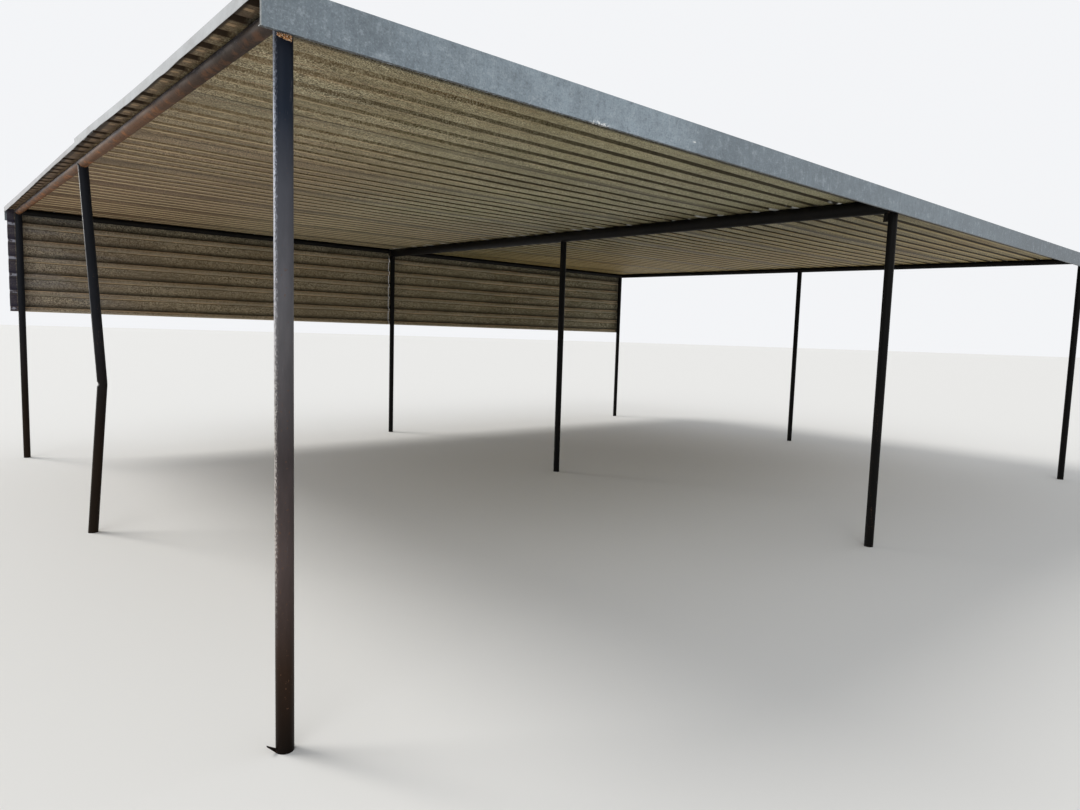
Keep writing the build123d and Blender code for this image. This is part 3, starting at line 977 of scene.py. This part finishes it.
def post_material(name, lit_edge_and_wear):
    """Posts: black paint with wear, navy by gable A, and on post A1 a painted sunlit edge, lilac grey half
    way up, on its side towards gable A and the back.
    """
    n = Nodes(name)
    if lit_edge_and_wear:
        base = n.ramp(
            n.math("DIVIDE", n.z, 2.15),
            (0.0, (0.004, 0.002, 0.001)), (0.12, (0.024, 0.013, 0.008)), (0.27, (0.062, 0.046, 0.043)),
            (0.42, (0.044, 0.036, 0.036)), (0.60, (0.097, 0.093, 0.098)), (0.78, (0.066, 0.068, 0.080)),
            (0.88, (0.012, 0.017, 0.028)), (1.0, (0.005, 0.007, 0.013)),
        )
        # painted sunlit edge: post A1's side towards gable A and the back made pale, fading out near the
        # foot and under the fascia
        sunny = n.math("ADD", n.math("MULTIPLY", n.nx, -0.930), n.math("MULTIPLY", n.ny, 0.368))
        sunny = n.math("ADD", sunny, n.span(n.z, 0.50, 1.30, -0.12, -0.04))
        ragged = n.span(n.noise(230.0, 5.0, 0.85, (1.0, 1.0, 0.45)), 0.36, 0.64, -0.24, 0.24)
        sunny = n.span(n.math("ADD", sunny, ragged), 0.66, 0.98)
        sunlit_edge_colour = n.mix(n.span(n.z, 0.9, 1.9), (0.44, 0.41, 0.38), (0.42, 0.46, 0.56))
        sunny = n.both(sunny, n.span(n.z, 0.28, 0.66), n.span(n.z, 1.85, 2.08, 0.90, 0.30))
        base = n.mix(sunny, base, sunlit_edge_colour)
    else:
        by_gable = n.span(n.x, X_A + 1.2, X_A + 0.3)
        base = n.mix(n.span(n.z, 0.4, 1.5), (0.013, 0.008, 0.005), (0.010, 0.011, 0.014))
        base = n.mix(by_gable, (0.0045, 0.0042, 0.0040), base)
    cloud = n.noise(9.0, 5.0, 0.65, (1.0, 1.0, 0.22))
    lighter = n.mix(1.0, base, (1.9, 1.85, 1.85), "MULTIPLY")
    base = n.mix(n.span(cloud, 0.45, 0.75, 0.0, 0.45), base, lighter)
    scratch = n.noise(70.0, 4.0, 0.7, (1.0, 1.0, 0.10))
    base = n.mix(n.span(scratch, 0.66, 0.76, 0.0, 0.5 if lit_edge_and_wear else 0.2), base, (0.16, 0.16, 0.17))
    chip = n.noise(120.0, 3.0, 0.6)
    chips = n.span(n.math("MULTIPLY", chip, n.span(cloud, 0.3, 0.7, 0.75, 1.1)), 0.67, 0.71)
    base = n.mix(n.both(chips, 0.55 if lit_edge_and_wear else 0.35), base, (0.13, 0.068, 0.040))
    n.bump(n.math("SUBTRACT", scratch, chips), 0.0005, 0.4)
    return n.finish(base, n.span(cloud, 0.3, 0.7, 0.36, 0.50), 0.0, 0.07 if lit_edge_and_wear else 0.06)


def beam_material():
    """Middle, far and back beams: black paint gone dull, a little rust at its edges."""
    n = Nodes("beam_paint")
    cloud = n.noise(6.0, 5.0, 0.65)
    base = n.mix(n.span(cloud, 0.4, 0.7), (0.0045, 0.0042, 0.0040), (0.010, 0.0085, 0.007))
    rust = n.span(n.noise(34.0, 5.0, 0.7), 0.62, 0.74)
    base = n.mix(n.both(rust, 0.30), base, (0.08, 0.040, 0.020))
    n.bump(n.noise(150.0, 3.0), 0.0004, 0.4)
    return n.finish(base, n.span(cloud, 0.3, 0.7, 0.50, 0.66), 0.0, 0.12)


def weathered_material():
    """Beam over gable A: painted blue-grey sky light and pale specks of painted highlight on its upper side,
    rust brown and orange below.
    """
    n = Nodes("weathered_beam")
    cloud = n.noise(7.0, 6.0, 0.65, (1.0, 0.45, 1.0))
    side = n.math("ADD", n.nz, n.span(cloud, 0.3, 0.7, -0.35, 0.35))
    back = n.span(n.y, Y_1 + 0.4, Y_1 + 1.8)
    below = n.mix(back, (0.036, 0.022, 0.015), (0.125, 0.058, 0.026))
    above = n.mix(back, (0.026, 0.023, 0.025), (0.086, 0.074, 0.076))
    # painted sky light: the upper side blue-grey, the lower side rust brown
    base = n.mix(n.span(side, -0.40, 0.15), below, above)
    streak = n.noise(20.0, 4.0, 0.7, (1.0, 0.3, 1.0))
    base = n.mix(n.span(streak, 0.55, 0.75, 0.0, 0.6), base, (0.040, 0.028, 0.024))
    fine = n.noise(120.0, 4.0, 0.8)
    fleck = n.noise(75.0, 4.0, 0.8, (1.0, 0.6, 1.0))
    # painted highlights: pale specks on the upper side
    pale_specks = n.both(n.span(fine, 0.54, 0.66, 0.0, 0.6), n.span(side, -0.2, 0.4))
    base = n.mix(pale_specks, base, (0.25, 0.25, 0.29))
    paler = n.both(n.span(fleck, 0.54, 0.64, 0.0, 0.5), n.span(side, -0.6, 0.2))
    base = n.mix(paler, base, (0.22, 0.20, 0.22))
    base = n.mix(n.span(fleck, 0.47, 0.36, 0.0, 0.55), base, (0.020, 0.013, 0.010))
    base = n.mix(n.span(fine, 0.46, 0.32, 0.0, 0.5), base, (0.026, 0.018, 0.015))
    rust = n.span(n.noise(13.0, 6.0, 0.72), 0.50, 0.62)
    low = n.both(n.span(n.nz, -0.20, -0.80), n.span(n.y, Y_1 + 0.3, Y_1 + 2.6, 0.25, 1.0))
    base = n.mix(n.both(rust, low, 0.80), base, (0.30, 0.115, 0.036))
    n.bump(n.math("ADD", fine, rust), 0.0006, 0.5)
    return n.finish(base, n.span(cloud, 0.3, 0.7, 0.58, 0.75), 0.0, 0.12)


def weld_material():
    """Painted weld bead with rust in its hollows."""
    n = Nodes("weld_paint")
    spots = n.span(n.noise(90.0, 4.0, 0.7), 0.50, 0.66)
    base = n.mix(spots, (0.008, 0.007, 0.007), (0.09, 0.042, 0.022))
    n.bump(n.noise(260.0, 2.0), 0.0005, 0.5)
    return n.finish(base, n.span(spots, 0.0, 1.0, 0.45, 0.7), 0.0, 0.15)


def screw_material():
    """Zinc screw heads, some of them rusty."""
    n = Nodes("screw_zinc")
    one = n.noise(2.7, 2.0)
    spots = n.noise(160.0, 3.0)
    rust = n.span(n.math("ADD", one, n.math("MULTIPLY", spots, 0.5)), 0.80, 0.95)
    base = n.mix(rust, (0.42, 0.42, 0.41), (0.20, 0.085, 0.035))
    n.bump(spots, 0.0002, 0.3)
    return n.finish(base, n.span(spots, 0.3, 0.7, 0.38, 0.55), 0.5)


def foam_material():
    """Aged foam: orange and cream crumbs, dark in its pores."""
    n = Nodes("aged_foam")
    pores = n.noise(420.0, 4.0, 0.7)
    base = n.mix(n.span(pores, 0.40, 0.52), (0.10, 0.035, 0.013), (0.92, 0.47, 0.18))
    base = n.mix(n.span(n.noise(190.0, 2.0), 0.50, 0.60, 0.0, 0.9), base, (0.97, 0.84, 0.66))
    n.bump(pores, 0.002, 0.8)
    return n.finish(base, n.span(pores, 0.3, 0.7, 0.7, 0.9), 0.0)


def dress(material, *nodes):
    """Gives CAD nodes a material and smooth shading."""
    for name in nodes:
        piece = frame["nodes"][name]
        piece.data.materials.clear()
        piece.data.materials.append(material)
        piece.data.polygons.foreach_set("use_smooth", [True] * len(piece.data.polygons))
        piece.data.set_sharp_from_angle(angle=math.radians(35))


def dress_nodes():
    """Materials of the nodes that keep their own meshes."""
    posts = [f"post_{column}{row}" for column in COLUMNS for row in ROWS]
    dress(post_material("post_paint_chalky", True), posts.pop(0), "foot_tab_a1")
    dress(post_material("post_paint", False), *posts)
    dress(weathered_material(), "cross_beam_a")
    dress(beam_material(), "cross_beam_b", "cross_beam_c", "back_beam_left", "back_beam_right", "gusset_b1")
    dress(fascia_material(), "front_fascia", "rear_fascia")


# Stage


def floor():
    """Plain pale floor, far wider than the carport."""
    n = Nodes("floor")
    n.finish((0.74, 0.73, 0.71), 0.9, 0.0, 0.2)
    work = bmesh.new()
    bmesh.ops.create_circle(work, cap_ends=True, segments=96, radius=160.0)
    mesh = bpy.data.meshes.new("floor")
    work.to_mesh(mesh)
    work.free()
    mesh.materials.append(n.material)
    piece = bpy.data.objects.new("floor", mesh)
    bpy.context.scene.collection.objects.link(piece)


def world():
    """Even light from all round, and a white background where the camera or a reflection sees it."""
    scene = bpy.context.scene
    scene.world = bpy.data.worlds.new("studio")
    scene.world.use_nodes = True
    tree = scene.world.node_tree
    tree.nodes.clear()
    path = tree.nodes.new("ShaderNodeLightPath")
    seen = path.outputs["Is Camera Ray"]
    for ray in ("Is Glossy Ray", "Is Transmission Ray"):
        either = tree.nodes.new("ShaderNodeMath")
        either.operation = "MAXIMUM"
        tree.links.new(seen, either.inputs[0])
        tree.links.new(path.outputs[ray], either.inputs[1])
        seen = either.outputs[0]
    light = tree.nodes.new("ShaderNodeBackground")
    light.inputs["Color"].default_value = (0.93, 0.96, 1.0, 1.0)
    light.inputs["Strength"].default_value = 0.60
    back = tree.nodes.new("ShaderNodeBackground")
    back.inputs["Color"].default_value = (0.90, 0.91, 0.93, 1.0)
    back.inputs["Strength"].default_value = 1.0
    mix = tree.nodes.new("ShaderNodeMixShader")
    tree.links.new(seen, mix.inputs[0])
    tree.links.new(light.outputs[0], mix.inputs[1])
    tree.links.new(back.outputs[0], mix.inputs[2])
    out = tree.nodes.new("ShaderNodeOutputWorld")
    tree.links.new(mix.outputs[0], out.inputs["Surface"])


def lamp(name, direction, strength, angle, colour):
    """Soft distant lamp that shines from a direction."""
    data = bpy.data.lights.new(name, "SUN")
    data.energy = strength
    data.angle = math.radians(angle)
    data.color = colour
    piece = bpy.data.objects.new(name, data)
    piece.rotation_mode = "QUATERNION"
    piece.rotation_quaternion = Vector(direction).to_track_quat("Z", "Y")
    bpy.context.scene.collection.objects.link(piece)


def camera():
    """Camera at the place and angle that the photo was taken from."""
    focal_px, frame_px, sensor_mm = 738.8, 1080.0, 36.0
    yaw, pitch, roll = 0.8583, -0.0958, 0.0306
    forward = Vector((math.cos(yaw) * math.cos(pitch), math.sin(yaw) * math.cos(pitch), math.sin(pitch)))
    level = forward.cross(Vector((0, 0, 1))).normalized()
    above = level.cross(forward)
    right = math.cos(roll) * level + math.sin(roll) * above
    up = -math.sin(roll) * level + math.cos(roll) * above
    data = bpy.data.cameras.new("camera")
    data.sensor_width = sensor_mm
    data.lens = focal_px / frame_px * sensor_mm
    piece = bpy.data.objects.new("camera", data)
    turn = Matrix((right, up, -forward)).transposed().to_4x4()
    piece.matrix_world = Matrix.Translation((-4.806, -5.264, 1.294)) @ turn
    bpy.context.scene.collection.objects.link(piece)
    bpy.context.scene.camera = piece


TRIM_LOOK = trim_material()
SCREW_LOOK = screw_material()
dress_nodes()
roof_sheets(roof_material())
screen_sheets(screen_material())
gable_trims(TRIM_LOOK)
roof_screws(SCREW_LOOK)
screen_screws(SCREW_LOOK)
trim_screws(SCREW_LOOK)
welds(weld_material())
foam_crust(foam_material())
floor()
world()
lamp("key", (-0.45, 0.55, 0.95), 1.5, 24, (1.0, 0.98, 0.94))
lamp("fill", (-0.75, -0.65, 0.55), 0.7, 40, (0.94, 0.97, 1.0))
lamp("rim", (-0.50, 0.85, 0.14), 1.1, 12, (1.0, 0.97, 0.92))
camera()
bpy.context.scene.view_settings.view_transform = "Standard"
